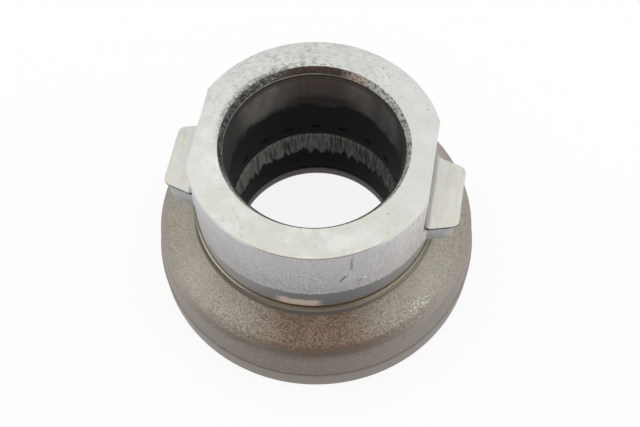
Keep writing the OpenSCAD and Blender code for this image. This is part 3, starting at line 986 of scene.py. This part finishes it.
def bush_material():
    """Black polymer, darker towards the bottom, with painted sheen: grey on rubbed streaks high in the
    lower bush, lighter at the left, and dull grey high in the upper one.
    """
    p = Paint("bush_polymer")
    streaks = p.noise(1.1, 4, 0.7, p.upright(0.09))
    black = p.mix(p.step(p.z, 25, 12), (0.026, 0.026, 0.026), (0.004, 0.004, 0.004))
    ragged = p.jitter(p.noise(0.45, 3, 0.6, p.upright(0.02)), 14.0)
    in_lower = p.below(p.z, LOWER_BUSH_TOP + 0.2, LOWER_BUSH_TOP + 0.4)
    # Painted sheen on the rubbed streaks high in the lower bush
    rubbed = p.times(p.step(p.plus(p.z, ragged), RUB_SHEEN_LOW, RUB_SHEEN_LOW + 1.4), in_lower)
    grey = p.mix(p.step(streaks, 0.36, 0.64), (0.075, 0.071, 0.065), (0.40, 0.385, 0.357))
    sheen_left = p.mix(p.step(streaks, 0.32, 0.60), (0.10, 0.094, 0.087), (0.51, 0.485, 0.45))
    grey = p.mix(p.sector(SEEN_BACK + 45, 40, 30), grey, sheen_left)
    colour = bush_top_paint(p, p.mix(rubbed, black, grey), streaks)
    return p.finish(colour, 0.0, 0.6, p.bump(streaks, 0.03), specular=0.03)


def bush_top_paint(p, colour, streaks):
    """Dull painted sheen high in the upper bush, lighter at the back, with lighter, brown and dark
    fields and a dark edge.
    """
    torn = p.jitter(p.noise(0.12, 3, 0.6), 10.0)
    upper = p.step(p.plus(p.z, torn), DULL_SHEEN_LOW, DULL_SHEEN_LOW + 3.5)
    line_share = p.step(streaks, 0.3, 0.7)
    # Painted sheen, lighter at the back
    dull_sheen = p.mix(line_share, (0.055, 0.055, 0.051), (0.088, 0.088, 0.081))
    light = p.mix(line_share, (0.105, 0.10, 0.092), (0.155, 0.148, 0.137))
    colour = p.mix(upper, colour, p.mix(p.sector(SEEN_BACK, 45, 35), dull_sheen, light))
    brown = p.times(p.sector(SEEN_BACK - 3, 30, 25), p.step(p.z, 52, 58))
    colour = p.layer(colour, (0.12, 0.082, 0.064), brown, 0.6)
    swirl = p.step(p.noise(0.16, 4, 0.6, p.upright(0.6)), 0.35, 0.62, 0.35, 1.0)
    fields = (
        (SEEN_BACK + 38, 17, 14, (0.25, 0.232, 0.215)), (SEEN_BACK - 33, 9, 9, (0.21, 0.18, 0.165)),
        (SEEN_BACK - 62, 12, 10, (0.15, 0.148, 0.136)), (SEEN_BACK - 88, 10, 10, (0.03, 0.03, 0.027)),
    )
    for middle, half, soft, shade in fields:
        colour = p.layer(colour, shade, p.sector(middle, half, soft), upper, swirl)
    low_back = p.times(p.sector(SEEN_BACK - 6, 26, 14), p.step(p.z, 57, 52))
    colour = p.layer(colour, (0.062, 0.05, 0.047), low_back, upper)
    top_edge = p.step(p.z, UPPER_BUSH_TOP - 0.65, UPPER_BUSH_TOP - 0.35)
    return p.layer(colour, (0.045, 0.04, 0.035), top_edge, 0.85)


def polished_material(name, colour, rough):
    """Fine-ground steel."""
    p = Paint(name)
    grain = p.noise(2.5, 3, 0.6)
    shade = tuple(0.8 * c for c in colour)
    mixed = p.mix(grain, shade, colour)
    return p.finish(mixed, 1.0, p.step(grain, 0.2, 0.8, rough, rough + 0.1), p.bump(grain, 0.01))


def moulded_material(name, colour, rough):
    """Dark moulded polymer or rubber with a fine grain."""
    p = Paint(name)
    grain = p.noise(2.0, 4, 0.6)
    shade = tuple(0.6 * c for c in colour)
    mixed = p.mix(grain, shade, colour)
    return p.finish(mixed, 0.0, p.step(grain, 0.2, 0.8, rough, rough + 0.15), p.bump(grain, 0.02))


def gap_seal_material():
    """Rubber seen in the gap, painted pale, and brown at the front, to stand in for light in the gap's
    shade.
    """
    p = Paint("lit_gap_seal_rubber")
    grain = p.noise(2.0, 4, 0.6)
    # Painted light: pale, and brown at the front, where the seal lies in the gap's shade
    painted_pale = p.mix(grain, (0.66, 0.61, 0.43), (0.88, 0.82, 0.62))
    front_brown = p.mix(grain, (0.36, 0.21, 0.11), (0.50, 0.31, 0.17))
    return p.finish(p.mix(p.sector(SEEN_FRONT, 36, 26), painted_pale, front_brown), 0.0, 0.75, p.bump(grain, 0.02))


# Pieces

def place_materials(obj, materials, choose):
    """Gives each face the material that choose returns for its centre and normal, in millimetres."""
    obj.data.materials.clear()
    for m in materials:
        obj.data.materials.append(m)
    for face in obj.data.polygons:
        face.material_index = choose(face.center / MM, face.normal)


def make_sleeve():
    obj = add_piece(sleeve_mesh("guide_sleeve_body"))
    for turned in (False, True):
        meshes = [lug_mesh("lug"), land_mesh("land")]
        meshes += [root_fillet_mesh("fillet", side) for side in (1, -1)]
        for mesh in meshes:
            piece = add_piece(mesh)
            if turned:
                turned_half(piece)
            apply_boolean(obj, piece, "UNION")
    smooth_shade(obj.data)
    materials = [top_face_material(), wall_material(), mouth_material(), cast_material()]
    top, wall, mouth, cast = range(4)
    level = 0.8
    flat_facing = 0.97
    bore_paint_low = 50

    def choose(centre, normal):
        r = math.hypot(centre.x, centre.y)
        if normal.z > level and centre.z > TOTAL_H - 0.5:
            return top
        if r < MOUTH_EDGE_R and (centre.z > bore_paint_low or centre.z < END_LIP_TOP + 0.1):
            return mouth
        on_wall = SLEEVE_R - 0.4 < r < SLEEVE_R + 0.05 or centre.z > PLATE_LOW and r > MOUTH_R + 0.5
        if on_wall and abs(normal.x) < flat_facing and centre.z > SKIRT_LOW - 0.01:
            return wall
        return cast

    place_materials(obj, materials, choose)
    stand_for(obj, "guide_sleeve", "sleeve_set")


def make_plates():
    steel = plate_material()
    for turned, node in ((False, "right_wear_plate"), (True, "left_wear_plate")):
        obj = add_piece(wear_plate_mesh(node + "_sheet"))
        if turned:
            turned_half(obj)
        obj.data.materials.append(steel)
        stand_for(obj, node, "sleeve_set")


def make_bushes():
    polymer = bush_material()
    section = bush_profile(LOWER_BUSH_LOW, LOWER_BUSH_TOP)
    lower = add_piece(lathe("lower_bush_liner", section))
    section = bush_profile(UPPER_BUSH_LOW, UPPER_BUSH_TOP, (SLOT_Z + SLOT_H, SLOT_Z - SLOT_H))
    upper = add_piece(lathe("upper_bush_liner", section))
    apply_boolean(upper, add_piece(slot_cutters("slots")), "DIFFERENCE")
    smooth_shade(upper.data)
    for obj, node in ((lower, "lower_bush"), (upper, "upper_bush")):
        obj.data.materials.clear()
        obj.data.materials.append(polymer)
        stand_for(obj, node, "sleeve_set")


def make_thrust_ring():
    obj = add_piece(lathe("thrust_ring_flare", thrust_profile(), segments=320))
    obj.data.materials.append(ring_material())
    stand_for(obj, "thrust_ring", "thrust_set")


def dress_inner_pieces():
    """Materials of the pieces that keep their CAD meshes."""
    steel = polished_material("bearing_steel", (0.62, 0.63, 0.64), 0.12)
    dark = polished_material("spring_steel", (0.16, 0.16, 0.15), 0.35)
    cage = moulded_material("cage_polymer", (0.05, 0.05, 0.045), 0.45)
    rubber = moulded_material("seal_rubber", (0.03, 0.03, 0.03), 0.6)
    gap_seal = gap_seal_material()
    chosen = {
        "inner_ring": steel, "snap_ring": dark, "ball_cage": cage,
        "upper_seal": gap_seal, "lower_seal": rubber,
    }
    for name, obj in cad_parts.items():
        if name.startswith("ball_") and name != "ball_cage":
            chosen[name] = steel
        if name in chosen:
            obj.data.materials.clear()
            obj.data.materials.append(chosen[name])


# Studio

def seen_rays(nodes, links):
    """1 for camera, glossy and transmission rays, which see the background as white."""
    path = nodes.new("ShaderNodeLightPath")
    total = path.outputs["Is Camera Ray"]
    for name in ("Is Glossy Ray", "Is Transmission Ray"):
        either = nodes.new("ShaderNodeMath")
        either.operation = "MAXIMUM"
        links.new(total, either.inputs[0])
        links.new(path.outputs[name], either.inputs[1])
        total = either.outputs[0]
    return total


def make_world():
    world = bpy.data.worlds.new("studio")
    bpy.context.scene.world = world
    world.use_nodes = True
    nodes, links = world.node_tree.nodes, world.node_tree.links
    sky = nodes["Background"]
    sky.inputs["Color"].default_value = (1, 1, 1, 1)
    strength = nodes.new("ShaderNodeMix")
    strength.data_type = "FLOAT"
    strength.inputs[2].default_value = WORLD_LIGHT
    strength.inputs[3].default_value = 1.0
    links.new(seen_rays(nodes, links), strength.inputs[0])
    links.new(strength.outputs[0], sky.inputs["Strength"])


def make_floor():
    """Floor seen as white with the object's shadow, which throws light back as grey."""
    h = FLOOR_HALF
    mesh = bpy.data.meshes.new("floor")
    mesh.from_pydata([(-h, -h, 0), (h, -h, 0), (h, h, 0), (-h, h, 0)], [], [(0, 1, 2, 3)])
    obj = add_object("floor", mesh)
    material = bpy.data.materials.new("floor")
    material.use_nodes = True
    nodes, links = material.node_tree.nodes, material.node_tree.links
    nodes.clear()
    diffuse = nodes.new("ShaderNodeBsdfDiffuse")
    seen = seen_rays(nodes, links)
    grey = nodes.new("ShaderNodeMapRange")
    grey.inputs["To Min"].default_value = FLOOR_BOUNCE
    grey.inputs["To Max"].default_value = FLOOR_SHADE
    links.new(seen, grey.inputs["Value"])
    links.new(grey.outputs["Result"], diffuse.inputs["Color"])
    glow = nodes.new("ShaderNodeEmission")
    lift = nodes.new("ShaderNodeMath")
    lift.operation = "MULTIPLY"
    lift.inputs[1].default_value = 1 - FLOOR_LIGHT * FLOOR_SHADE
    links.new(seen, lift.inputs[0])
    links.new(lift.outputs[0], glow.inputs["Strength"])
    both = nodes.new("ShaderNodeAddShader")
    links.new(diffuse.outputs[0], both.inputs[0])
    links.new(glow.outputs[0], both.inputs[1])
    out = nodes.new("ShaderNodeOutputMaterial")
    links.new(both.outputs[0], out.inputs[0])
    mesh.materials.append(material)


def add_softbox(name, place, target, size, power):
    """White area lamp aimed at a place, in metres and watts."""
    lamp = bpy.data.lights.new(name, "AREA")
    lamp.shape = "RECTANGLE"
    lamp.size, lamp.size_y = size
    lamp.energy = power
    obj = add_object(name, lamp)
    obj.location = place
    aim = Vector(target) - Vector(place)
    obj.rotation_euler = aim.to_track_quat("-Z", "Y").to_euler()


def make_lights():
    add_softbox("overhead", (0.0, 0.10, 0.9), (0, 0, 0), (1.1, 1.1), 2.3)
    add_softbox("left", (-0.9, 0.1, 0.5), (0, 0, 0.03), (0.7, 0.7), 0.9)
    add_softbox("right", (0.9, 0.1, 0.5), (0, 0, 0.03), (0.7, 0.7), 1.0)


def make_camera():
    azimuth, elevation = math.radians(CAMERA_AZIMUTH), math.radians(CAMERA_ELEVATION)
    roll = math.radians(CAMERA_ROLL)
    level = math.cos(elevation)
    away = Vector((math.sin(azimuth) * level, -math.cos(azimuth) * level, math.sin(elevation)))
    right = Vector((math.cos(azimuth), math.sin(azimuth), 0))
    up = away.cross(right)
    side = right * math.cos(roll) - up * math.sin(roll)
    top = right * math.sin(roll) + up * math.cos(roll)
    data = bpy.data.cameras.new("camera")
    data.sensor_width = SENSOR_MM
    data.lens = FOCAL_PX / IMAGE_W * SENSOR_MM
    data.shift_x = ORIGIN_LEFT_PX / IMAGE_W
    data.shift_y = ORIGIN_DOWN_PX / IMAGE_W
    data.clip_start = 0.01
    obj = add_object("camera", data)
    place = Matrix((side, top, away)).transposed().to_4x4()
    place.translation = away * CAMERA_DISTANCE * MM
    obj.matrix_world = place
    bpy.context.scene.camera = obj


make_sleeve()
make_plates()
make_bushes()
make_thrust_ring()
dress_inner_pieces()
make_floor()
make_world()
make_lights()
make_camera()
bpy.context.scene.view_settings.view_transform = "Standard"
